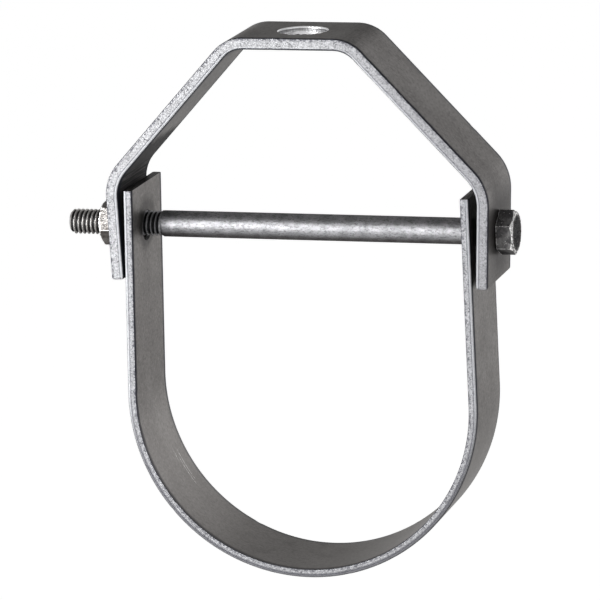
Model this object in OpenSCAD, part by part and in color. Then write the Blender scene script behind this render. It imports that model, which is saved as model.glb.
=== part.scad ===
// Clevis hanger for a 4 inch pipe. A bent flat bar yoke hangs from a threaded rod, and a U strap that
// carries the pipe swings under it on a cross bolt with a hex nut.
// Millimetres. The origin is the middle of the rod hole, halfway through the bar. +X runs along the bolt
// towards its head, -Y is the front and +Z is up.

/* [Flat bar] */
// Width of the bar that both the yoke and the strap are bent from
bar_w = 35.6; // [20:0.1:60]
// Thickness of the yoke's bar
yoke_t = 4.2; // [2.5:0.05:8]
// Thickness of the strap's bar
strap_t = 3.1; // [2:0.05:6]
// Rounding that the shear leaves along one face: the yoke's inner and the strap's outer face
sheared_r = 0.9; // [0.2:0.05:1.2]

/* [Yoke] */
// Height of the top face above the bolt axis
bolt_drop = 70.35; // [50:0.05:100]
// Sharp corner of the flat top, to the right of the rod hole
flat_right = 21.35; // [15:0.05:35]
// Sharp corner of the flat top, to the left of the rod hole
flat_left = 23.45; // [15:0.05:35]
// Sharp corner of the shoulders, out from the middle
shoulder_half = 69.5; // [60:0.05:90]
// Sharp corner of the shoulders, above the bolt axis
shoulder_rise = 19.35; // [10:0.05:30]
// Angle at which the legs close in towards their tips
leg_toe_in = 2.05; // [0:0.05:4]
// Length of the legs below the bolt axis
leg_drop = 17.2; // [12:0.1:30]
// Rounding of the two corners at the tip of each leg
tip_corner_r = 1.2; // [0.2:0.1:3]
// Inner radius of the two bends at the flat top
top_bend_r = 9.8; // [4:0.1:16]
// Inner radius of the two shoulder bends
shoulder_bend_r = 13.3; // [5:0.1:20]
// Hole for the hanger rod
rod_hole_d = 17.5; // [10:0.1:24]
// Rounding that the punch leaves at the mouth of the rod hole
rod_hole_round = 0.5; // [0.1:0.05:1]

/* [Strap] */
// Inner radius of the U, where the pipe lies
pipe_r = 60.8; // [40:0.1:70]
// Depth of the U's centre below the bolt axis
u_drop = 59.7; // [40:0.1:80]
// Angle at which the strap's legs close in towards their ends
strap_close_in = 1; // [0:0.1:3]
// Height of the strap's ends above the bolt axis
strap_rise = 15.1; // [10:0.1:20]
// Place of the strap along the bolt, from the middle of the yoke
strap_shift = -0.3; // [-1:0.1:1]

/* [Cross bolt and nut] */
// Diameter of the plain shank
shank_d = 9.5; // [6:0.05:12]
// Outer diameter of the thread
thread_d = 9.4; // [6:0.05:12]
// Length of the thread, tip included
thread_len = 34.5; // [20:0.5:50]
// Place of the bolt's tip, from the middle of the yoke
tip_reach = 88.1; // [75:0.1:100]
// Width across the flats of head and nut
hex_af = 14.3; // [10:0.1:20]
// Height of the head
head_h = 6; // [4:0.1:9]
// Height of the nut
nut_h = 6.9; // [4:0.1:10]
// Angle that the head stands turned to, about +X
head_turn = 4; // [-30:0.5:30]
// Angle that the nut stands turned to, about +X
nut_turn = -19.5; // [-30:0.5:30]
// Diameter of the bolt's holes in the yoke and the strap
bolt_hole_d = 11.1; // [9.6:0.1:13]
// Running gap between pieces that touch
gap = 0.05; // [0.02:0.01:0.1]

/* [Hidden] */
$fn = 96;
cut = 1;                                   // how far a cutter passes a face
lap = 0.1;                                 // how far a straight of bar reaches into a bend
skin = 0.004;                              // how much slimmer the straights are than the bends
top_z = yoke_t / 2;                        // yoke's top face
axis_z = top_z - bolt_drop;                // bolt axis
steel = [0.45, 0.43, 0.42];
zinc = [0.52, 0.53, 0.55];

// Yoke: each side bends down from the flat top to a slope, and again to a leg.
slope_fall = bolt_drop - shoulder_rise;
leg_run = (shoulder_rise + leg_drop) / cos(leg_toe_in);
leg_out = shoulder_half - shoulder_rise * tan(leg_toe_in);   // leg's outer face, at the bolt axis

// Strap: the outer face's radius, and the straight of each leg above the U.
strap_out_r = pipe_r + strap_t;
strap_leg = (strap_rise + u_drop) / cos(strap_close_in) - strap_out_r * tan(strap_close_in);

// The load pulls the strap down on the bolt and the bolt down in the yoke, so the strap's hole hangs
// low on the shank and the yoke's holes stand high.
hole_off = (bolt_hole_d - shank_d) / 2 - gap;

// Bolt: the head bears on the right leg, on the high side of its slight slope.
hex_ac = hex_af / cos(30);
bear_x = leg_out + hex_af / 2 * tan(leg_toe_in) + gap;
tip_chamfer = 1.1;
runout = 1.6;                              // cone between the shank and the thread
mouth = 0.6;                               // countersink at both ends of the nut's bore

// Section of the bar: its outer face lies on y = 0 and its inner face on y = -t. slim takes that much
// off all round.
module bar_section(t, sheared_inside, slim = 0) {
    half_w = bar_w / 2 - slim;
    core = half_w - sheared_r;
    face = slim - t;                       // the face with the rounded edges, before it is flipped
    flip = sheared_inside ? 0 : 1;
    translate([0, -flip * t]) mirror([0, flip]) {
        translate([-half_w, face + sheared_r]) square([2 * half_w, t - 2 * slim - sheared_r]);
        translate([-core, face]) square([2 * core, t - 2 * slim]);
        for (side = [-1, 1]) translate([side * core, face + sheared_r]) circle(r = sheared_r);
    }
}

// A straight of bar along +X with its outer face up. What follows it is given as children. It is a
// trifle slim and reaches into the bends beside it, so that all of them join to one solid.
module run(t, length, sheared_inside, free_start = false) {
    before = free_start ? 0 : lap;
    after = $children > 0 ? lap : 0;
    translate([-before, 0, 0]) rotate([90, 0, 90])
        linear_extrude(height = before + length + after) bar_section(t, sheared_inside, skin);
    translate([length, 0, 0]) children();
}

// A bend of bar that turns down from +X. What follows it is given as children.
module bend(t, inner_r, angle, sheared_inside) {
    outer_r = inner_r + t;
    translate([0, 0, -outer_r]) {
        rotate([-90, -90, 0]) rotate_extrude(angle = angle)
            translate([outer_r, 0]) rotate(-90) bar_section(t, sheared_inside);
        rotate([0, angle, 0]) translate([0, 0, outer_r]) children();
    }
}

// Outline of a leg of that length, seen square on, with its tip's corners rounded. It is wider than the
// bar before the tip.
module leg_outline(length) {
    corner_x = length - tip_corner_r;
    corner_y = bar_w / 2 - tip_corner_r;
    translate([-cut, -bar_w]) square([cut + corner_x, 2 * bar_w]);
    translate([-cut, -corner_y]) square([cut + length, 2 * corner_y]);
    for (side = [-1, 1]) translate([corner_x, side * corner_y]) circle(r = tip_corner_r);
}

// The yoke's last straight on each side, a leg.
module leg(length) {
    intersection() {
        run(yoke_t, length, true);
        translate([0, 0, -yoke_t - cut]) linear_extrude(height = yoke_t + 2 * cut) leg_outline(length);
    }
}

// One side of the yoke, from the middle of its top out to the tip of its leg.
module yoke_side(flat) {
    slope_tilt = atan2(slope_fall, shoulder_half - flat);
    shoulder_tilt = 90 + leg_toe_in - slope_tilt;
    top_tangent = (top_bend_r + yoke_t) * tan(slope_tilt / 2);
    shoulder_tangent = (shoulder_bend_r + yoke_t) * tan(shoulder_tilt / 2);
    slope_run = norm([shoulder_half - flat, slope_fall]);
    run(yoke_t, flat - top_tangent, true, free_start = true)
        bend(yoke_t, top_bend_r, slope_tilt, true)
            run(yoke_t, slope_run - top_tangent - shoulder_tangent, true)
                bend(yoke_t, shoulder_bend_r, shoulder_tilt, true)
                    leg(leg_run - shoulder_tangent);
}

// Cutter for the rod hole: a cylinder whose mouth, on z = 0, flares in a quarter round.
module rod_hole() {
    r = rod_hole_d / 2;
    flare = r + rod_hole_round;
    rotate_extrude() {
        translate([0, -yoke_t - cut]) square([r, yoke_t + 2 * cut]);
        difference() {
            translate([0, -rod_hole_round]) square([flare, rod_hole_round + cut]);
            translate([flare, -rod_hole_round]) circle(r = rod_hole_round);
        }
    }
}

// Cutter for a bolt hole through both legs, with its axis off the bolt's by lift.
module bolt_hole(lift) {
    translate([0, 0, axis_z + lift]) rotate([0, 90, 0])
        cylinder(d = bolt_hole_d, h = 2 * shoulder_half + 4 * cut, center = true);
}

module yoke() {
    color(steel) difference() {
        translate([0, 0, top_z]) {
            yoke_side(flat_right);
            mirror([1, 0, 0]) yoke_side(flat_left);
        }
        translate([0, 0, top_z]) rod_hole();
        bolt_hole(hole_off);
    }
}

module strap() {
    u_turn = 180 + 2 * strap_close_in;
    color(steel) difference() {
        translate([strap_shift, 0, axis_z - u_drop]) rotate([0, 90 - strap_close_in, 0])
            translate([-strap_leg, 0, strap_out_r])
                run(strap_t, strap_leg, false, free_start = true)
                    bend(strap_t, pipe_r, u_turn, false)
                        run(strap_t, strap_leg, false);
        bolt_hole(-hole_off);
    }
}

// A hexagon along +Z from z = 0, with a 30 degree chamfer at its top, and at its foot when both is true.
module hexagon(height, both) {
    flat_r = hex_af / 2 * 0.96;            // radius of the round flat inside the chamfer
    far_r = hex_ac / 2 + cut;
    drop = (far_r - flat_r) * tan(30);
    foot = both ? drop : 0;
    intersection() {
        cylinder(d = hex_ac, h = height, $fn = 6);
        rotate_extrude() polygon([
            [0, 0], [both ? flat_r : far_r, 0], [far_r, foot],
            [far_r, height - drop], [flat_r, height], [0, height]
        ]);
    }
}

// The bolt lies along +X, with its head's bearing face on bear_x and its tip on -tip_reach.
module cross_bolt() {
    tip_end = bear_x + tip_reach;
    shank_end = tip_end - thread_len;
    color(zinc) translate([bear_x, 0, axis_z]) rotate([0, 90, 0]) {
        rotate([0, 0, head_turn]) hexagon(head_h, false);
        rotate_extrude() polygon([
            [0, head_h / 2], [shank_d / 2, head_h / 2], [shank_d / 2, -shank_end],
            [thread_d / 2, -shank_end - runout], [thread_d / 2, tip_chamfer - tip_end],
            [thread_d / 2 - tip_chamfer, -tip_end], [0, -tip_end]
        ]);
    }
}

module hex_nut() {
    bore_r = thread_d / 2 + gap;
    mouth_r = bore_r + mouth;
    color(zinc) translate([-bear_x, 0, axis_z]) rotate([0, -90, 0]) rotate([0, 0, -nut_turn])
        difference() {
            hexagon(nut_h, true);
            rotate_extrude() polygon([
                [0, -cut], [mouth_r, -cut], [mouth_r, 0], [bore_r, mouth],
                [bore_r, nut_h - mouth], [mouth_r, nut_h], [mouth_r, nut_h + cut], [0, nut_h + cut]
            ]);
        }
}

yoke();
strap();
cross_bolt();
hex_nut();
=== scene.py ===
"""Looks of a clevis hanger: mill finish flat bar with sheared edges, a bright cross bolt and its nut.

Metres, in the part's own frame: the origin is the middle of the rod hole, +X runs along the bolt towards
its head, -Y is the front and +Z is up.
"""

import math

import bpy
import numpy as np
from mathutils import Matrix, Vector


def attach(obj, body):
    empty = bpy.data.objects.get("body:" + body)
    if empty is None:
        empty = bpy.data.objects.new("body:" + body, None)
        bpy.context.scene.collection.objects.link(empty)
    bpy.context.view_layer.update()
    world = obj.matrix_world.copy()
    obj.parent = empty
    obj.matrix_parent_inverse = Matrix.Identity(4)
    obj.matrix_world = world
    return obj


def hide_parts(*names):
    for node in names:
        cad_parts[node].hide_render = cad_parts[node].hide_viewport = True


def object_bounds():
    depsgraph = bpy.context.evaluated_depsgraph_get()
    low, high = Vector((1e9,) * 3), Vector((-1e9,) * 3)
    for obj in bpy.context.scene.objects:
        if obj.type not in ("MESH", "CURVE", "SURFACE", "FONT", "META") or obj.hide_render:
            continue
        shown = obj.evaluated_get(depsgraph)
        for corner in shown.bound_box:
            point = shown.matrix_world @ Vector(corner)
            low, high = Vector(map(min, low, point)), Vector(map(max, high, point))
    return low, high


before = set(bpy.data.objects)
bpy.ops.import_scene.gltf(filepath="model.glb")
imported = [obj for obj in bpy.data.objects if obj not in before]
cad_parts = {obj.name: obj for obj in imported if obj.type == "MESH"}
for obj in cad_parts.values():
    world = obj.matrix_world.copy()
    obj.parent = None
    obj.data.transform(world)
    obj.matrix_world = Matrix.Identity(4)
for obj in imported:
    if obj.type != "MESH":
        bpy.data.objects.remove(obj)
cad_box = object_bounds()

MM = 0.001

# The bar, the yoke and the strap, as the part has them
BAR_W = 35.6 * MM
YOKE_T = 4.2 * MM
STRAP_T = 3.1 * MM
SHEARED_R = 0.9 * MM
BOLT_DROP = 70.35 * MM
FLAT_RIGHT = 21.35 * MM
FLAT_LEFT = 23.45 * MM
SHOULDER_HALF = 69.5 * MM
SHOULDER_RISE = 19.35 * MM
LEG_TOE_IN = math.radians(2.05)
LEG_DROP = 17.2 * MM
TOP_BEND_R = 9.8 * MM
SHOULDER_BEND_R = 13.3 * MM
ROD_HOLE_R = 8.75 * MM
ROD_HOLE_ROUND = 0.5 * MM
PIPE_R = 60.8 * MM
U_DROP = 59.7 * MM
STRAP_CLOSE_IN = math.radians(1)
STRAP_RISE = 15.1 * MM
STRAP_SHIFT = -0.3 * MM
TIP_CORNER_R = 1.2 * MM                  # rounding of the corners at the yoke's tips
STRAP_CORNER_R = 0.4 * MM                # and at the strap's ends
BOLT_HOLE_R = 5.55 * MM
HOLE_OFF = 0.75 * MM                     # the yoke's bolt holes stand this high, the strap's hang this low
TOP_Z = YOKE_T / 2
AXIS_Z = TOP_Z - BOLT_DROP

# The bolt and the nut, as the part has them
BEAR_X = 69.11 * MM
HEAD_H = 6.0 * MM
NUT_H = 6.9 * MM
HEX_AF = 14.3 * MM
HEAD_TURN = math.radians(4)
NUT_TURN = math.radians(-19.5)
SHANK_R = 4.7 * MM
THREAD_R = 4.5 * MM
TIP_X = -88.08 * MM
THREAD_LEN = 34.5 * MM
PITCH = 25.4 / 16 * MM
RUNOUT = 1.6 * MM


# Camera and stage

# The camera was fitted to the photograph's outlines: where it aims, and its turn, height, roll and distance
AIM = Vector((-4.38, 0, -94.8)) * MM
AZIMUTH = math.radians(16.09)
ELEVATION = math.radians(12.80)
ROLL = math.radians(-1.925)
DISTANCE = 1688.3 * MM
LENS_MM = 285.9
SENSOR_MM = 36.0

MIDDLE = Vector((0, 0, -95)) * MM
LAMP_SPREAD = math.radians(70)

FLOOR_DROP = 0.45            # the hanger hangs this far over the floor
FLOOR_SIZE = 30.0
FLOOR_LIFT = 0.55            # what the floor adds to its lit colour where it is seen, to come out white
WORLD_LIGHT = 0.5
CEILING = 0.4                # how bright the studio's ceiling is in reflections, against the white below it


def add_camera():
    back = Vector((
        math.sin(AZIMUTH) * math.cos(ELEVATION),
        -math.cos(AZIMUTH) * math.cos(ELEVATION),
        math.sin(ELEVATION),
    ))
    right = Vector((math.cos(AZIMUTH), math.sin(AZIMUTH), 0))
    up = back.cross(right)
    rolled_right = math.cos(ROLL) * right + math.sin(ROLL) * up
    rolled_up = math.cos(ROLL) * up - math.sin(ROLL) * right
    data = bpy.data.cameras.new("camera")
    data.lens = LENS_MM
    data.sensor_width = SENSOR_MM
    data.clip_start = 0.05
    data.clip_end = 100
    camera = bpy.data.objects.new("camera", data)
    turn = Matrix((rolled_right, rolled_up, back)).transposed()
    camera.matrix_world = Matrix.Translation(AIM + DISTANCE * back) @ turn.to_4x4()
    bpy.context.scene.collection.objects.link(camera)
    bpy.context.scene.camera = camera


class Shader:
    """One node tree, with a short call for each kind of node that the materials use."""

    def __init__(self, tree):
        self.tree = tree
        tree.nodes.clear()

    def node(self, kind, settings=None, **inputs):
        made = self.tree.nodes.new(kind)
        for key, value in (settings or {}).items():
            setattr(made, key, value)
        for key, value in inputs.items():
            name = key.replace("_", " ")
            socket = made.inputs[int(key[1:])] if key[1:].isdigit() else made.inputs[name]
            if isinstance(value, bpy.types.NodeSocket):
                self.tree.links.new(value, socket)
            else:
                socket.default_value = value
        return made

    def seen(self):
        """1 for what the camera sees, itself or in a reflection, and 0 for light."""
        path = self.node("ShaderNodeLightPath").outputs
        seen = self.math("ADD", path["Is Camera Ray"], path["Is Glossy Ray"])
        return self.math("MINIMUM", self.math("ADD", seen, path["Is Transmission Ray"]), 1.0)

    def math(self, operation, a, b=0.0, c=0.0):
        return self.node("ShaderNodeMath", {"operation": operation}, i0=a, i1=b, i2=c).outputs[0]

    def ramp(self, value, low, high, start=0.0, end=1.0):
        """A smooth step of value from low to high, as start to end."""
        made = self.node("ShaderNodeMapRange", {"interpolation_type": "SMOOTHSTEP"}, Value=value,
                         From_Min=low, From_Max=high, To_Min=start, To_Max=end)
        return made.outputs[0]

    def noise(self, vector, size, detail=3.0, roughness=0.55):
        """Noise with features of about that size in metres, from 0 to 1."""
        made = self.node("ShaderNodeTexNoise", None, Vector=vector, Scale=1 / size,
                         Detail=detail, Roughness=roughness)
        return made.outputs["Fac"]

    def stretched(self, vector, x, y, z):
        made = self.node("ShaderNodeVectorMath", {"operation": "MULTIPLY"}, i0=vector, i1=(x, y, z))
        return made.outputs[0]

    def mix(self, factor, a, b):
        made = self.node("ShaderNodeMix", {"data_type": "RGBA"}, i0=factor)
        for socket, value in ((made.inputs[6], a), (made.inputs[7], b)):
            if isinstance(value, bpy.types.NodeSocket):
                self.tree.links.new(value, socket)
            else:
                socket.default_value = (*value, 1.0)
        return made.outputs[2]


def new_material(name):
    material = bpy.data.materials.new(name)
    material.use_nodes = True
    return material, Shader(material.node_tree)


def add_world():
    """A plain level of light. The camera and reflections see white, and a dimmer ceiling above it."""
    world = bpy.data.worlds.new("studio")
    world.use_nodes = True
    bpy.context.scene.world = world
    s = Shader(world.node_tree)
    way = s.node("ShaderNodeTexCoord").outputs["Generated"]
    up = s.node("ShaderNodeSeparateXYZ", None, Vector=way).outputs["Z"]
    ceiling = s.ramp(up, 0.02, 0.3, 1.0, CEILING)
    lit = s.node("ShaderNodeBackground", None, Color=(1, 1, 1, 1), Strength=WORLD_LIGHT)
    shown = s.node("ShaderNodeBackground", None, Color=(1, 1, 1, 1), Strength=ceiling)
    mixed = s.node("ShaderNodeMixShader", None, i0=s.seen(), i1=lit.outputs[0], i2=shown.outputs[0])
    s.node("ShaderNodeOutputWorld", None, Surface=mixed.outputs[0])


def add_floor():
    bpy.ops.mesh.primitive_plane_add(size=FLOOR_SIZE, location=(0, 0, cad_box[0].z - FLOOR_DROP))
    floor = bpy.context.object
    floor.name = "floor"
    material, s = new_material("white_floor")
    seen = s.seen()
    pale = s.node("ShaderNodeBsdfDiffuse", None, Color=(0.9, 0.9, 0.9, 1))
    glow = s.node("ShaderNodeEmission", None, Color=(1, 1, 1, 1), Strength=s.math("MULTIPLY", seen, FLOOR_LIFT))
    surface = s.node("ShaderNodeAddShader", None, i0=pale.outputs[0], i1=glow.outputs[0])
    s.node("ShaderNodeOutputMaterial", None, Surface=surface.outputs[0])
    floor.data.materials.append(material)


def add_lamp(name, place, size, power):
    """A round soft lamp that shines on the hanger, in a beam that leaves out most of the floor."""
    data = bpy.data.lights.new(name, "AREA")
    data.shape = "DISK"
    data.size = size
    data.energy = power
    data.spread = LAMP_SPREAD
    lamp = bpy.data.objects.new(name, data)
    lamp.location = place
    lamp.rotation_euler = (MIDDLE - Vector(place)).to_track_quat("-Z", "Y").to_euler()
    bpy.context.scene.collection.objects.link(lamp)


# Materials

FLAT_DARK, FLAT_PALE = (0.158, 0.149, 0.144), (0.214, 0.204, 0.198)
EDGE_DARK, EDGE_PALE = (0.32, 0.32, 0.33), (0.57, 0.575, 0.59)
U_CENTRE_Z = AXIS_Z - U_DROP

# Scratches inside the U, in millimetres: place along and across the strap, length and slant
SCRATCHES = [(232.5, 7.6, 13.0, 0.03), (234.0, 9.4, 14.0, 0.02), (243.5, 6.0, 6.0, 0.05)]
INNER_SHADE_TOP_Z = -35 * MM                   # the yoke's inner side below this height is painted near black, as painted shade, and made rougher and less metallic


def metal(s, colour, metallic, roughness, height, depth, edge_tint):
    """The surface of a metal, with bumps of that depth in metres. edge_tint darkens it at grazing angles."""
    bump = s.node("ShaderNodeBump", None, Strength=1.0, Distance=depth, Height=height)
    steel = s.node("ShaderNodeBsdfPrincipled", None, Base_Color=colour, Metallic=metallic, Roughness=roughness,
                   Specular_Tint=(edge_tint, edge_tint, edge_tint, 1), Specular_IOR_Level=0.25,
                   Normal=bump.outputs[0])
    s.node("ShaderNodeOutputMaterial", None, Surface=steel.outputs[0])


def scratches(s, along, across, ragged):
    """1 on the scratches, which break up where ragged is low."""
    total = 0.0
    for start, side, length, slant in SCRATCHES:
        gone = s.math("SUBTRACT", along, start)
        off = s.math("SUBTRACT", across, s.math("MULTIPLY_ADD", gone, slant, side))
        line = s.ramp(s.math("ABSOLUTE", off), 0.22, 0.08)
        part = s.math("MULTIPLY", s.ramp(gone, -0.5, 1.0), s.ramp(gone, length, length - 2.0))
        total = s.math("ADD", total, s.math("MULTIPLY", line, part))
    return s.math("MULTIPLY", total, s.ramp(ragged, 0.42, 0.54))


def bar_steel(name, is_yoke):
    """Mill finish on the bar's flats, streaked cut ends, and bright, grainy sheared edges.

    The yoke has painted shade on its inner side and more painted shade round the bolt, and the strap has scratches.
    """
    material, s = new_material(name)
    coord = s.node("ShaderNodeTexCoord").outputs
    point = coord["Object"]
    place = s.node("ShaderNodeAttribute", {"attribute_name": "bar_place"}).outputs["Vector"]
    form = s.node("ShaderNodeAttribute", {"attribute_name": "bar_form"}).outputs["Vector"]
    at = s.node("ShaderNodeSeparateXYZ", None, Vector=place).outputs
    shape = s.node("ShaderNodeSeparateXYZ", None, Vector=form).outputs
    facing = s.math("ABSOLUTE", s.node("ShaderNodeSeparateXYZ", None, Vector=coord["Normal"]).outputs["Y"])
    from_edge = s.math("SUBTRACT", BAR_W / 2 / MM, s.math("ABSOLUTE", at["Y"]))
    from_round, from_sharp, bent = at["Z"], shape["X"], s.math("ABSOLUTE", shape["Y"])

    cloud = s.noise(point, 0.024, 4)
    mottle = s.noise(point, 0.0052, 6, 0.68)
    fine = s.noise(point, 0.0011, 4, 0.8)
    rolled = s.noise(s.stretched(place, 0.03, 0.6, 0.3), 1.0, 3)
    flat = s.mix(s.ramp(cloud, 0.34, 0.66), FLAT_DARK, FLAT_PALE)
    flat = s.mix(s.ramp(mottle, 0.52, 0.64, 0, 0.3), flat, (0.28, 0.268, 0.26))
    flat = s.mix(s.ramp(mottle, 0.47, 0.36, 0, 0.4), flat, (0.06, 0.056, 0.054))
    flat = s.mix(s.ramp(fine, 0.5, 0.64, 0, 0.6), flat, (0.05, 0.047, 0.045))
    flat = s.mix(s.ramp(fine, 0.47, 0.36, 0, 0.4), flat, (0.34, 0.325, 0.315))
    flat = s.mix(s.ramp(rolled, 0.5, 0.72, 0, 0.2), flat, (0.2, 0.193, 0.188))
    flat = s.mix(0.1, flat, (0.06, 0.057, 0.055) if is_yoke else (0.36, 0.345, 0.335))
    strained = s.noise(s.stretched(place, 1.5, 0.03, 0.2), 1.0, 3, 0.65)
    tight = s.ramp(bent, 0.02, 0.06)
    inside = s.ramp(shape["Z"], 2.0, 2.8)
    inner_bend = s.math("MULTIPLY", tight, inside)
    # painted shade: the inner face of tight bends darkened almost to black
    flat = s.mix(s.math("MULTIPLY", inner_bend, 0.72), flat, (0.02, 0.02, 0.021))
    spot = s.node("ShaderNodeSeparateXYZ", None, Vector=point).outputs
    inner_shade = 0.0
    if is_yoke:
        inner_shade = s.ramp(s.math("MULTIPLY_ADD", mottle, 0.01, spot["Z"]), INNER_SHADE_TOP_Z + 0.007, INNER_SHADE_TOP_Z + 0.002)
        inner_shade = s.math("MULTIPLY", inner_shade, inside)
        # painted shade: the yoke's inner side darkened almost to black below a wavy height
        flat = s.mix(s.math("MULTIPLY", inner_shade, 0.82), flat, (0.018, 0.018, 0.02))
    streaked = s.math("MULTIPLY_ADD", inner_bend, 0.8, s.math("MULTIPLY", tight, 0.2))
    flat = s.mix(s.math("MULTIPLY", s.ramp(strained, 0.5, 0.58, 0, 0.5), streaked), flat, (0.26, 0.25, 0.245))
    flat = s.mix(s.math("MULTIPLY", s.ramp(strained, 0.48, 0.4, 0, 0.6), streaked), flat, (0.01, 0.01, 0.012))
    # painted shade: the flats darkened round the bolt, out to a wider reach on the yoke than on the strap
    off_axis = s.node("ShaderNodeVectorMath", {"operation": "MULTIPLY_ADD"}, i0=point, i1=(0, 1, 1),
                      i2=(0, 0, -AXIS_Z)).outputs[0]
    reach = s.node("ShaderNodeVectorMath", {"operation": "LENGTH"}, i0=off_axis).outputs["Value"]
    reach = s.math("ADD", reach, s.math("MULTIPLY", s.math("SUBTRACT", cloud, 0.5), 0.012))
    bolt_shade_far, bolt_shade_most = (0.028, 0.75) if is_yoke else (0.0105, 0.6)
    flat = s.mix(s.ramp(reach, 0.0065, bolt_shade_far, bolt_shade_most, 0), flat, (0.03, 0.028, 0.028))
    # painted shade: a dark, broken band along the flats' borders beside the edges, wider on the yoke's inner side
    ragged = s.math("ADD", from_edge, s.math("MULTIPLY", s.math("SUBTRACT", mottle, 0.5), 1.6))
    if is_yoke:
        ragged = s.math("MULTIPLY_ADD", inside, -1.7, ragged)
    flat = s.mix(s.ramp(ragged, 0.9, 2.6, 0.95, 0), flat, (0.014, 0.016, 0.024))
    low = s.ramp(spot["Z"], U_CENTRE_Z + 0.01, U_CENTRE_Z - 0.03)
    if not is_yoke:
        # the strap's flats lighter towards the bottom of the U
        flat = s.mix(s.math("MULTIPLY", low, 0.3), flat, (0.33, 0.315, 0.305))
        flat = s.mix(s.math("MULTIPLY", scratches(s, at["X"], at["Y"], fine), 0.9), flat, (0.75, 0.74, 0.73))

    from_face = s.math("MINIMUM", from_round, from_sharp)
    sawn = s.noise(s.stretched(place, 0.0, 0.06, 2.4), 1.0, 3, 0.65)
    end = s.mix(s.ramp(sawn, 0.5, 0.66), (0.06, 0.055, 0.053), (0.3, 0.29, 0.28))
    # painted shade: the cut ends darkened along their rims
    end = s.mix(s.ramp(from_face, 0.45, 0.25, 0, 0.9), end, (0.014, 0.016, 0.024))
    flat = s.mix(s.ramp(from_face, 0.12, 0.22), flat, end)

    shear = s.noise(s.stretched(place, 2.6, 0.5, 0.6), 1.0, 3, 0.6)
    speck = s.noise(point, 0.0005, 3, 0.7)
    pits = s.noise(point, 0.0009, 3, 0.75)
    cut = s.mix(s.ramp(speck, 0.36, 0.64), EDGE_DARK, EDGE_PALE)
    cut = s.mix(s.ramp(pits, 0.58, 0.63, 0, 0.8), cut, (0.08, 0.08, 0.09))
    burrs = s.math("MULTIPLY", s.ramp(pits, 0.48, 0.53), s.ramp(from_sharp, 1.2, 0.6, 0, 0.8))
    cut = s.mix(burrs, cut, (0.12, 0.12, 0.14))
    cut = s.mix(s.ramp(shear, 0.55, 0.72, 0, 0.25), cut, (0.26, 0.26, 0.27))
    cut = s.mix(s.ramp(from_round, 1.05, 0.85, 0, 0.7), cut, (0.66, 0.67, 0.69))
    # painted shade: the edges' rounding darker towards the bottom of the U, where it faces down
    cut = s.mix(s.math("MULTIPLY", low, s.ramp(from_round, 2.0, 1.2, 0, 0.85)), cut, (0.13, 0.13, 0.14))
    if is_yoke:
        # painted shade: the yoke's edges darker towards +X, the side away from the key lamp
        cut = s.mix(s.ramp(spot["X"], -0.01, 0.06, 0, 0.55), cut, (0.25, 0.25, 0.265))
    else:
        cut = s.mix(0.22, cut, (0.2, 0.2, 0.215))
    top = s.ramp(s.math("ABSOLUTE", at["X"]), 32.0, 20.0) if is_yoke else 0.0
    seam = s.math("ABSOLUTE", s.math("SUBTRACT", from_round, 1.15))
    seam = s.math("MULTIPLY", s.ramp(seam, 0.3, 0.08, 0, 0.55), s.math("SUBTRACT", 1.0, top))
    cut = s.mix(seam, cut, (0.1, 0.1, 0.125))
    # painted shade: dark lines along each edge's sharp corner and along the rim of its rounding, wider at the yoke's
    # top
    rim = s.math("MULTIPLY_ADD", top, 0.5, 0.36)
    outline = s.math("MAXIMUM", s.ramp(from_sharp, 0.32, 0.14), s.ramp(from_round, rim, s.math("SUBTRACT", rim, 0.2)))
    cut = s.mix(s.math("MULTIPLY", outline, 0.85), cut, (0.016, 0.018, 0.028))
    edge = s.ramp(facing, 0.3, 0.6)
    colour = s.mix(edge, flat, cut)
    inner_shade = s.math("MULTIPLY", inner_shade, s.math("SUBTRACT", 1.0, edge))

    rough = s.math("ADD", s.math("MULTIPLY", mottle, 0.2), 0.34)
    rough = s.math("ADD", rough, s.math("MULTIPLY", edge, 0.32))
    rough = s.math("MULTIPLY_ADD", inner_shade, 0.4, rough)
    grain = s.math("MULTIPLY", s.math("ADD", speck, s.math("MULTIPLY", shear, 1.5)), edge)
    height = s.math("ADD", grain, s.math("MULTIPLY", fine, 0.4))
    metal(s, colour, s.math("MULTIPLY_ADD", inner_shade, -0.8, 0.85), rough, height, 0.00004, 0.5)
    return material


def hole_steel():
    """Scored wall of a punched hole: a painted highlight at the mouth, a duller band, a bright band and painted
    shadow deep in the hole.
    """
    material, s = new_material("hole_steel")
    point = s.node("ShaderNodeTexCoord").outputs["Object"]
    form = s.node("ShaderNodeAttribute", {"attribute_name": "bar_form"}).outputs["Vector"]
    depth = s.node("ShaderNodeSeparateXYZ", None, Vector=form).outputs["Z"]
    scored = s.noise(s.stretched(point, 1400, 1400, 260), 1.0, 3)
    cloud = s.noise(point, 0.003, 3)
    colour = s.mix(s.ramp(scored, 0.35, 0.65), (0.42, 0.42, 0.43), (0.66, 0.66, 0.67))
    colour = s.mix(s.ramp(cloud, 0.5, 0.7, 0, 0.4), colour, (0.22, 0.21, 0.205))
    noisy_depth = s.math("MULTIPLY_ADD", s.math("SUBTRACT", cloud, 0.5), 1.2, depth)
    colour = s.mix(s.ramp(noisy_depth, 1.7, 2.0, 0, 0.9), colour, (0.95, 0.95, 0.96))
    # painted highlight: the wall near white close to the bar's outer face
    colour = s.mix(s.ramp(depth, 0.75, 0.5, 0, 0.9), colour, (0.95, 0.95, 0.96))
    seam = s.math("ABSOLUTE", s.math("SUBTRACT", depth, 0.95))
    colour = s.mix(s.ramp(seam, 0.3, 0.1, 0, 0.6), colour, (0.1, 0.1, 0.105))
    # painted shadow: the wall darkened almost to black deep in the hole, at a ragged depth
    colour = s.mix(s.ramp(noisy_depth, 2.75, 2.95, 0, 0.95), colour, (0.02, 0.02, 0.022))
    metal(s, colour, 0.85, 0.42, scored, 0.00003, 0.6)
    return material


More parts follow.
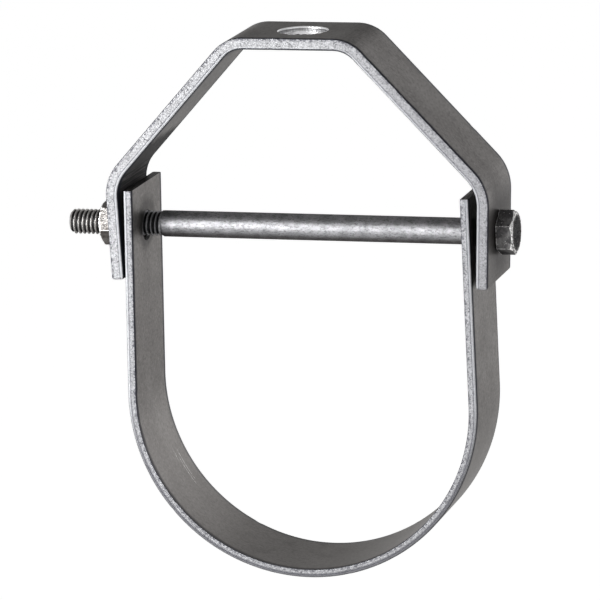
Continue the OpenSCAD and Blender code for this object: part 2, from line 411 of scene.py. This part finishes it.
def bolt_steel(name, dark, bright, roughness, is_bolt):
    """Dull steel in clouds, with a granular shine and edges painted bright, partly as wear and partly as painted
    highlight. The bolt's head is black, with painted glints on its end face; painted shade darkens the thread's
    grooves and the down-facing sides.
    """
    material, s = new_material(name)
    coord = s.node("ShaderNodeTexCoord").outputs
    point = coord["Object"]
    edge_and_groove = s.node("ShaderNodeAttribute", {"attribute_name": "edge_and_groove"}).outputs["Fac"]
    x = s.node("ShaderNodeSeparateXYZ", None, Vector=point).outputs["X"]
    off_axis = s.node("ShaderNodeVectorMath", {"operation": "MULTIPLY_ADD"}, i0=point, i1=(0, 1, 1),
                      i2=(0, 0, -AXIS_Z)).outputs[0]
    reach = s.node("ShaderNodeVectorMath", {"operation": "LENGTH"}, i0=off_axis).outputs["Value"]
    cloud = s.noise(point, 0.004, 4, 0.6)
    fine = s.noise(point, 0.0008, 3, 0.6)
    drawn = s.noise(s.stretched(point, 800, 1700, 1700), 1.0, 4, 0.8)
    colour = s.mix(s.ramp(cloud, 0.2, 0.8), dark, bright)
    colour = s.mix(s.ramp(drawn, 0.5, 0.6, 0, 0.6), colour, tuple(0.35 * c for c in dark))
    if is_bolt:
        colour = s.mix(s.ramp(x, -BEAR_X, -BEAR_X - NUT_H, 0, 0.8), colour, (0.58, 0.565, 0.55))
    # painted shade: the bolt and the nut darker where they face down
    low = s.node("ShaderNodeSeparateXYZ", None, Vector=coord["Normal"]).outputs["Z"]
    colour = s.mix(s.ramp(low, -0.3, -0.75, 0, 0.6), colour, (0.035, 0.028, 0.024))
    # painted shade: the thread's grooves darkened almost to black
    colour = s.mix(s.ramp(edge_and_groove, -0.2, -0.85, 0, 0.94), colour, (0.008, 0.008, 0.009))
    black = s.mix(s.ramp(cloud, 0.4, 0.6), (0.075, 0.073, 0.075), (0.19, 0.186, 0.186))
    end = s.ramp(x, BEAR_X + HEAD_H - 0.0005, BEAR_X + HEAD_H - 0.0001)
    black = s.mix(s.math("MULTIPLY", end, 0.75), black, (0.015, 0.015, 0.016))
    # painted highlights: white specks on the head's end face, thicker near its rim
    end_glints = s.math("MULTIPLY_ADD", s.math("MULTIPLY", s.ramp(reach, 0.0050, 0.0066), end), 0.13, fine)
    black = s.mix(s.ramp(end_glints, 0.64, 0.68, 0, 0.9), black, (0.66, 0.65, 0.64))
    colour = s.mix(s.ramp(x, BEAR_X - 0.0002, BEAR_X), colour, black)
    # worn plating and painted highlight: the hexagon's corners and chamfer rims painted near white, broken up by
    # noise
    edge_wear_and_highlight = s.math("MULTIPLY", s.ramp(edge_and_groove, 0, 0.9), s.ramp(fine, 0.38, 0.5))
    colour = s.mix(edge_wear_and_highlight, colour, (0.95, 0.94, 0.93))
    rough = s.math("ADD", s.math("MULTIPLY", drawn, 0.4), roughness - 0.22)
    height = s.math("ADD", drawn, s.math("MULTIPLY", fine, 0.5))
    metal(s, colour, 0.95, rough, height, 0.00016, 0.3)
    return material


# Bars. A path is the line of a bar's outer face, as rows of x, z, tilt and length along it. At a tilt of 0
# the bar runs towards +X with its outer face up, and a growing tilt turns it down.

STATION = 0.7 * MM
SHARP_R = 0.12 * MM                      # the shear leaves one corner of each edge sharp
YOKE_END_R = 0.9 * MM                    # rounding of the edges across the bar at the yoke's tips
STRAP_END_R = 0.3 * MM                   # and at the strap's ends
HAIR = 0.03 * MM                         # the bars' faces lie this far inside the part's
END_STEPS = 7
BEND_BLEND = 15                          # stations over which the look of a bend fades
EDGE_WAVER = 0.12 * MM                   # how far the edges waver inwards


def heading(tilt):
    return np.array([math.cos(tilt), -math.sin(tilt)])


def outward(tilt):
    return np.array([math.sin(tilt), math.cos(tilt)])


def trace(x, z, tilt, moves):
    """A path from that place and tilt. A move is a length, or an outer radius and an angle for a bend."""
    at, along = np.array([x, z]), 0.0
    rows = [(x, z, tilt, along)]
    for move in moves:
        if isinstance(move, tuple):
            radius, angle = move
            centre = at - radius * outward(tilt)
            length = radius * angle
            tilts = np.linspace(tilt, tilt + angle, max(2, round(length / STATION)) + 1)[1:]
            for step in tilts:
                place = centre + radius * outward(step)
                rows.append((*place, step, along + radius * (step - tilt)))
            tilt += angle
        else:
            length = move
            for gone in np.linspace(0, length, max(2, round(length / STATION)) + 1)[1:]:
                rows.append((*(at + gone * heading(tilt)), tilt, along + gone))
        at, along = np.array(rows[-1][:2]), along + length
    return np.array(rows)


def yoke_half(flat):
    slope = math.atan2(BOLT_DROP - SHOULDER_RISE, SHOULDER_HALF - flat)
    shoulder = math.pi / 2 + LEG_TOE_IN - slope
    top_out, shoulder_out = TOP_BEND_R + YOKE_T, SHOULDER_BEND_R + YOKE_T
    top_cut, shoulder_cut = top_out * math.tan(slope / 2), shoulder_out * math.tan(shoulder / 2)
    slope_run = math.hypot(SHOULDER_HALF - flat, BOLT_DROP - SHOULDER_RISE)
    leg_run = (SHOULDER_RISE + LEG_DROP) / math.cos(LEG_TOE_IN)
    return trace(0, TOP_Z, 0, [
        flat - top_cut, (top_out, slope), slope_run - top_cut - shoulder_cut,
        (shoulder_out, shoulder), leg_run - shoulder_cut,
    ])


def yoke_path():
    left = yoke_half(FLAT_LEFT)[::-1] * np.array([-1, 1, -1, -1])
    return np.concatenate([left[:-1], yoke_half(FLAT_RIGHT)])


def strap_path():
    tilt = math.pi / 2 - STRAP_CLOSE_IN
    out_r = PIPE_R + STRAP_T
    leg = (STRAP_RISE + U_DROP) / math.cos(STRAP_CLOSE_IN) - out_r * math.tan(STRAP_CLOSE_IN)
    start = np.array([STRAP_SHIFT, AXIS_Z - U_DROP]) + out_r * outward(tilt) - leg * heading(tilt)
    return trace(*start, tilt, [leg, (out_r, math.pi + 2 * STRAP_CLOSE_IN), leg])


def bar_section(thickness, rounded_inside):
    """The bar's outline as rows of depth below the outer face and place across the bar."""
    half = BAR_W / 2
    side = []
    for angle in np.linspace(0, math.pi / 2, 3):
        side.append((SHARP_R * (1 - math.cos(angle)), half - SHARP_R * (1 - math.sin(angle))))
    for depth in np.linspace(SHARP_R, thickness - SHEARED_R, 6)[1:-1]:
        side.append((depth, half))
    for angle in np.linspace(0, math.pi / 2, 8):
        side.append((thickness - SHEARED_R * (1 - math.sin(angle)), half - SHEARED_R * (1 - math.cos(angle))))
    flat = np.linspace(-1, 1, 13)[1:-1]
    rows = [(0.0, y) for y in flat * (half - SHARP_R)] + side
    rows += [(thickness, -y) for y in flat * (half - SHEARED_R)] + [(d, -y) for d, y in side[::-1]]
    rows = np.array(rows)
    if not rounded_inside:
        rows[:, 0] = thickness - rows[:, 0]
        rows = rows[::-1]
    return rows


def wander(along, size, draw):
    """A smooth random line from 0 to 1 along the bar, with swings of about that size."""
    count = int(np.ptp(along) / size) + 4
    knots = draw.random(count)
    at = (along - along.min()) / size
    low = np.floor(at).astype(int)
    part = at - low
    part = part * part * (3 - 2 * part)
    return knots[low] * (1 - part) + knots[low + 1] * part


def rounding(gone, radius):
    """How far a rounded edge draws in at each distance from the end."""
    left = np.clip(radius - gone, 0, radius)
    return radius - np.sqrt(radius**2 - left**2)


def with_round_ends(path, corner_r):
    """The path with closer rows at both ends, and each row's distance from the nearer end."""
    near = corner_r * (1 - np.cos(np.linspace(0, math.pi / 2, END_STEPS)))
    start, stop = path[0, 3], path[-1, 3]
    inner = path[(path[:, 3] > start + 1.3 * corner_r) & (path[:, 3] < stop - 1.3 * corner_r)]
    first, last = path[0], path[-1]
    head = [(*(first[:2] + n * heading(first[2])), first[2], start + n) for n in near]
    tail = [(*(last[:2] - n * heading(last[2])), last[2], stop - n) for n in near[::-1]]
    rows = np.concatenate([head, inner, tail])
    return rows, np.minimum(rows[:, 3] - start, stop - rows[:, 3])


def bar_mesh(name, path, thickness, rounded_inside, corner_r, end_r, nicks, seed):
    """A bar swept along its path, with edges that waver a little and have a few nicks."""
    draw = np.random.default_rng(seed)
    rows, gone = with_round_ends(path, corner_r)
    side_in, face_in = HAIR + rounding(gone, corner_r), HAIR + rounding(gone, end_r)
    section = bar_section(thickness, rounded_inside)
    depth, across = section[:, 0], section[:, 1]
    half = BAR_W / 2
    along = rows[:, 3]
    points = []
    waver = {}
    for side in (-1, 1):
        waver[side] = EDGE_WAVER * (0.65 * wander(along, 21 * MM, draw) + 0.35 * wander(along, 3.1 * MM, draw))
    near = np.clip((np.abs(across) - half + 1.6 * MM) / (1.2 * MM), 0, 1)
    for i, (x, z, tilt, _) in enumerate(rows):
        drawn = np.where(across > 0, waver[1][i], waver[-1][i]) * near
        for place, side, size, bite in nicks:
            gap = np.abs(along[i] - place) / size
            if gap < 1:
                drawn = drawn + bite * (1 - gap**2) ** 2 * near * (np.sign(across) == side)
        shrink = 1 - side_in[i] / half
        y = across * shrink - np.sign(across) * drawn
        d = thickness / 2 + (depth - thickness / 2) * (1 - 2 * face_in[i] / thickness)
        out = outward(tilt)
        points.append(np.stack([x - d * out[0], y, z - d * out[1]], 1))
    count, total = len(section), len(rows)
    faces = []
    for i in range(total - 1):
        for k in range(count):
            m = (k + 1) % count
            faces.append((i * count + k, (i + 1) * count + k, (i + 1) * count + m, i * count + m))
    faces.append(tuple(range(count)))
    faces.append(tuple(reversed(range((total - 1) * count, total * count))))
    mesh = bpy.data.meshes.new(name)
    mesh.from_pydata(np.concatenate(points).tolist(), [], faces)
    mesh.update()
    made = bpy.data.objects.new(name, mesh)
    bpy.context.scene.collection.objects.link(made)
    return made


def cutter(name, rings, turn_to, place):
    """A solid of revolution for cutting a hole. A ring is a height and a radius along the hole's axis."""
    count = 96
    angle = np.arange(count) * 2 * math.pi / count
    points, faces = [], []
    for height, radius in rings:
        points.append(np.stack([radius * np.cos(angle), radius * np.sin(angle), np.full(count, height)], 1))
    for i in range(len(rings) - 1):
        for k in range(count):
            m = (k + 1) % count
            faces.append((i * count + k, i * count + m, (i + 1) * count + m, (i + 1) * count + k))
    faces.append(tuple(reversed(range(count))))
    faces.append(tuple(range((len(rings) - 1) * count, len(rings) * count)))
    mesh = bpy.data.meshes.new(name)
    mesh.from_pydata(np.concatenate(points).tolist(), [], faces)
    mesh.update()
    made = bpy.data.objects.new(name, mesh)
    bpy.context.scene.collection.objects.link(made)
    made.matrix_world = Matrix.Translation(place) @ turn_to.to_matrix().to_4x4()
    return made


def cut_out(piece, tool, material):
    """Takes the tool away from the piece. The new walls get that material."""
    tool.data.materials.append(material)
    bpy.context.view_layer.update()
    change = piece.modifiers.new("hole", "BOOLEAN")
    change.operation = "DIFFERENCE"
    change.solver = "EXACT"
    change.material_mode = "TRANSFER"
    change.object = tool
    graph = bpy.context.evaluated_depsgraph_get()
    mesh = bpy.data.meshes.new_from_object(piece.evaluated_get(graph))
    piece.modifiers.clear()
    piece.data = mesh
    bpy.data.objects.remove(tool)


def store_places(piece, path, thickness, rounded_inside):
    """Gives each vertex its place in the bar, in millimetres: along it, across it, and from its two faces."""
    mesh = piece.data
    co = np.zeros(len(mesh.vertices) * 3)
    mesh.vertices.foreach_get("co", co)
    co = co.reshape(-1, 3)
    nearest = np.empty(len(co), int)
    for start in range(0, len(co), 4000):
        part = co[start:start + 4000]
        gaps = (part[:, None, 0] - path[None, :, 0]) ** 2 + (part[:, None, 2] - path[None, :, 1]) ** 2
        nearest[start:start + 4000] = gaps.argmin(1)
    row = path[nearest]
    dx, dz = co[:, 0] - row[:, 0], co[:, 2] - row[:, 1]
    along = row[:, 3] + dx * np.cos(row[:, 2]) - dz * np.sin(row[:, 2])
    depth = -(dx * np.sin(row[:, 2]) + dz * np.cos(row[:, 2]))
    from_round = thickness - depth if rounded_inside else depth
    window = np.ones(BEND_BLEND) / BEND_BLEND
    bent = np.convolve(np.gradient(path[:, 2], path[:, 3]), window, "same")[nearest] * MM
    for name, columns in (
        ("bar_place", (along / MM, co[:, 1] / MM, from_round / MM)),
        ("bar_form", ((thickness - from_round) / MM, bent, depth / MM)),
    ):
        data = mesh.attributes.new(name, "FLOAT_VECTOR", "POINT")
        data.data.foreach_set("vector", np.stack(columns, 1).astype(np.float32).ravel())


# Turned and threaded pieces. A ring is a pair of arrays: place along the axis, and radius, at each angle.

CORNER_R = 0.35 * MM                     # rounding of a hexagon's six corners
FLAT_STEPS = 13
CORNER_STEPS = 3


# Angle from a flat's middle at which the rounding of the corner starts
CORNER_FROM = math.atan((HEX_AF / 2 - CORNER_R) * math.tan(math.pi / 6) / (HEX_AF / 2))


def sector_angles():
    """Angles round a hexagon, closer at its corners, in each sector from one corner to the next."""
    flat = np.sin(np.linspace(-math.pi / 2, math.pi / 2, FLAT_STEPS)) * CORNER_FROM
    corner = np.linspace(CORNER_FROM, math.pi / 3 - CORNER_FROM, CORNER_STEPS + 2)[1:-1]
    sector = np.concatenate([flat, corner])
    return np.concatenate([sector + (k + 0.5) * math.pi / 3 for k in range(6)])


ANGLES = sector_angles()


def hex_radius(shrink=0.0):
    """Radius of the rounded hexagon at each angle."""
    inner = HEX_AF / 2 - shrink
    off = np.abs(ANGLES % (math.pi / 3) - math.pi / 6)
    flat = inner / np.cos(off)
    reach = (inner - CORNER_R) / math.cos(math.pi / 6)
    to_corner = math.pi / 6 - off
    round_part = CORNER_R**2 - (reach * np.sin(to_corner)) ** 2
    corner = reach * np.cos(to_corner) + np.sqrt(np.maximum(round_part, 0))
    return np.where(np.tan(off) * inner > reach / 2, corner, flat)


def ring(x, radius, edge_and_groove=0.0):
    ones = np.ones(len(ANGLES))
    return x * ones, radius * ones, edge_and_groove * ones


def corner_line():
    """1 along a hexagon's corners."""
    off = np.abs(ANGLES % (math.pi / 3) - math.pi / 6)
    return np.clip((off - CORNER_FROM) / math.radians(1.2), 0, 1)


def chamfered_end(x, outward, flat_share=0.96, slope=math.radians(30)):
    """Rings of a hexagon's end face, its chamfer and the start of its sides, from the middle outwards."""
    flat_r = HEX_AF / 2 * flat_share
    radius = hex_radius()
    edge = x - outward * np.maximum(radius - flat_r, 0) * math.tan(slope)
    soft = 0.12 * MM
    return [
        ring(x, flat_r - 4 * soft),
        ring(x, flat_r - 1.5 * soft, 0.7),
        ring(x - outward * soft * 0.1, flat_r, 0.8),
        ring(x + 0.3 * (edge - x), flat_r + 0.3 * (radius - flat_r), 0.3),
        ring(x + 0.7 * (edge - x), flat_r + 0.7 * (radius - flat_r), 0.6),
        ring(edge + outward * soft * 0.4, radius - soft * 0.6, 1),
        ring(edge - outward * soft, radius, 1),
        ring(edge - outward * 3 * soft, radius, corner_line()),
    ]


def thread_radius(x, turned, crest, root, fat=0.0):
    """Radius of a right-hand thread at x and at each angle. fat widens the crest, as a share of the pitch."""
    phase = (x / PITCH + turned / (2 * math.pi)) % 1.0
    off = np.abs(phase - 0.5)
    top, bottom = 1 / 16 + fat, 3 / 8 + fat
    rise = np.clip((off - (0.5 - bottom)) / (bottom - top), 0, 1)
    return root + (crest - root) * rise


def mesh_of_rings(name, rings, turn, closed=False):
    """A mesh round the bolt's axis from rings. Unless it is closed on itself, its ends are capped."""
    angle = ANGLES + turn
    count = len(angle)
    points = []
    for x, r, _ in rings:
        points.append(np.stack([x, -r * np.sin(angle), AXIS_Z + r * np.cos(angle)], 1))
    points = np.concatenate(points)
    faces = []
    total = len(rings)
    for i in range(total if closed else total - 1):
        j = (i + 1) % total
        for k in range(count):
            m = (k + 1) % count
            faces.append((i * count + k, i * count + m, j * count + m, j * count + k))
    if not closed:
        first, last = rings[0][0][0], rings[-1][0][0]
        points = np.concatenate([points, [[first, 0, AXIS_Z], [last, 0, AXIS_Z]]])
        centre = total * count
        for k in range(count):
            m = (k + 1) % count
            faces.append((centre, m, k))
            faces.append((centre + 1, (total - 1) * count + k, (total - 1) * count + m))
    mesh = bpy.data.meshes.new(name)
    mesh.from_pydata(points.tolist(), [], faces)
    mesh.update()
    edge_and_groove = np.zeros(len(points), np.float32)
    edge_and_groove[:total * count] = np.concatenate([w for _, _, w in rings])
    mesh.attributes.new("edge_and_groove", "FLOAT", "POINT").data.foreach_set("value", edge_and_groove)
    made = bpy.data.objects.new(name, mesh)
    bpy.context.scene.collection.objects.link(made)
    return made


def smooth(obj, degrees=35):
    obj.data.shade_smooth()
    obj.data.set_sharp_from_angle(angle=math.radians(degrees))


THREAD_DEPTH = 0.5413 * PITCH
THREAD_STEP = PITCH / 24
TIP_CHAMFER = 1.1 * MM


def bolt_rings():
    end = BEAR_X + HEAD_H
    rings = [ring(end, 3.2 * MM)] + chamfered_end(end, 1)
    edge = hex_radius()
    rings += [ring(BEAR_X + 0.4 * MM, edge, corner_line()), ring(BEAR_X + 0.15 * MM, edge, 0.8)]
    rings += [ring(BEAR_X, edge - 0.15 * MM, 0.8), ring(BEAR_X, edge - 0.5 * MM)]
    rings += [ring(BEAR_X, SHANK_R + 0.4 * MM), ring(BEAR_X - 0.12 * MM, SHANK_R + 0.12 * MM)]
    thread_start = TIP_X + THREAD_LEN
    for x in np.linspace(BEAR_X - 0.4 * MM, thread_start + 0.2 * MM, 60):
        rings.append(ring(x, SHANK_R))
    turned = ANGLES + HEAD_TURN
    steps = int(THREAD_LEN / THREAD_STEP)
    for x in np.linspace(thread_start, TIP_X, steps):
        cut = min(1.0, (thread_start - x) / RUNOUT)
        root = THREAD_R - THREAD_DEPTH * cut
        crest = THREAD_R + (SHANK_R - THREAD_R) * (1 - cut)
        radius = thread_radius(x, turned, crest, root)
        cone = THREAD_R - TIP_CHAMFER + (x - TIP_X)
        rings.append(ring(x, np.minimum(radius, cone), (radius - THREAD_R) / THREAD_DEPTH))
    rings.append(ring(TIP_X, THREAD_R - TIP_CHAMFER - 0.2 * MM))
    return rings


def nut_rings():
    low, high = -BEAR_X - NUT_H, -BEAR_X
    crest = THREAD_R - THREAD_DEPTH + 0.16 * MM
    root = THREAD_R + 0.06 * MM
    turned = ANGLES + NUT_TURN
    mouth = 0.6 * MM
    rings = chamfered_end(high, 1) + chamfered_end(low, -1)[::-1]
    steps = int(NUT_H / THREAD_STEP)
    for x in np.linspace(low, high, steps):
        radius = thread_radius(x, turned, root, crest, 0.03)
        flare = root + mouth - np.minimum(x - low, high - x)
        rings.append(ring(x, np.maximum(radius, flare), (crest - radius) / THREAD_DEPTH))
    return rings


add_world()
add_camera()
add_floor()
add_lamp("key", (-0.5, -1.05, 0.02), 0.5, 1.25)
add_lamp("side", (-0.45, -0.45, 0.0), 0.25, 0.6)
add_lamp("fill", (1.1, -0.9, 0.5), 0.7, 0.25)
add_lamp("back", (0.55, 1.9, 0.1), 1.5, 1.0)

# Nicks: place along the bar, side, size along the bar and depth
YOKE_NICKS = [
    (-7 * MM, -1, 2.4 * MM, 0.35 * MM), (-2.5 * MM, -1, 1.5 * MM, 0.22 * MM), (-61 * MM, -1, 1.6 * MM, 0.3 * MM),
    (44 * MM, -1, 1.4 * MM, 0.2 * MM), (71 * MM, 1, 1.8 * MM, 0.3 * MM), (-88 * MM, 1, 1.5 * MM, 0.25 * MM),
]
STRAP_NICKS = [
    (110 * MM, 1, 1.8 * MM, 0.35 * MM), (142 * MM, -1, 1.4 * MM, 0.25 * MM), (160 * MM, -1, 1.8 * MM, 0.35 * MM),
    (38 * MM, -1, 1.6 * MM, 0.25 * MM), (231 * MM, -1, 1.3 * MM, 0.22 * MM), (205 * MM, 1, 2 * MM, 0.3 * MM),
]


def bolt_hole_cutter(lift):
    far = SHOULDER_HALF + 3 * MM
    turn_to = Vector((1, 0, 0)).to_track_quat("Z", "Y")
    return cutter("bolt_hole", [(-far, BOLT_HOLE_R), (far, BOLT_HOLE_R)], turn_to, Vector((0, 0, AXIS_Z + lift)))


def rod_hole_cutter():
    """The rod hole, whose mouth flares in a quarter round at the top face."""
    rings = [(-YOKE_T - MM, ROD_HOLE_R)]
    for angle in np.linspace(0, math.pi / 2, 7):
        rings.append((ROD_HOLE_ROUND * (math.sin(angle) - 1), ROD_HOLE_R + ROD_HOLE_ROUND * (1 - math.cos(angle))))
    rings.append((MM, ROD_HOLE_R + ROD_HOLE_ROUND))
    return cutter("rod_hole", rings, Vector((0, 0, 1)).to_track_quat("Z", "Y"), Vector((0, 0, TOP_Z)))


def make_bar(name, path, thickness, rounded_inside, corner_r, end_r, nicks, seed, cutters, steel):
    piece = bar_mesh(name, path, thickness, rounded_inside, corner_r, end_r, nicks, seed)
    piece.data.materials.append(steel)
    for tool in cutters:
        cut_out(piece, tool, hole_wall)
    store_places(piece, path, thickness, rounded_inside)
    smooth(piece)
    return piece


hole_wall = hole_steel()
yoke = make_bar("yoke_steel", yoke_path(), YOKE_T, True, TIP_CORNER_R, YOKE_END_R, YOKE_NICKS, 3,
                [bolt_hole_cutter(HOLE_OFF), rod_hole_cutter()], bar_steel("yoke_bar", True))
strap = make_bar("strap_steel", strap_path(), STRAP_T, False, STRAP_CORNER_R, STRAP_END_R, STRAP_NICKS, 8,
                 [bolt_hole_cutter(-HOLE_OFF)], bar_steel("strap_bar", False))
bolt = mesh_of_rings("cross_bolt_steel", bolt_rings(), HEAD_TURN)
nut = mesh_of_rings("hex_nut_steel", nut_rings(), NUT_TURN, closed=True)
bolt.data.materials.append(bolt_steel("bolt_steel", (0.19, 0.19, 0.198), (0.33, 0.33, 0.34), 0.42, True))
nut.data.materials.append(bolt_steel("nut_steel", (0.085, 0.076, 0.071), (0.34, 0.33, 0.32), 0.31, False))
smooth(bolt)
smooth(nut)
for piece, body, node, slot in (
    (yoke, "yoke", "yoke", "plain_steel"),
    (strap, "strap", "strap", "plain_steel"),
    (bolt, "bolt", "cross_bolt", "zinc_steel"),
    (nut, "nut", "hex_nut", "zinc_steel"),
):
    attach(piece, body)
    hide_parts(node)

bpy.context.scene.view_settings.view_transform = "Standard"
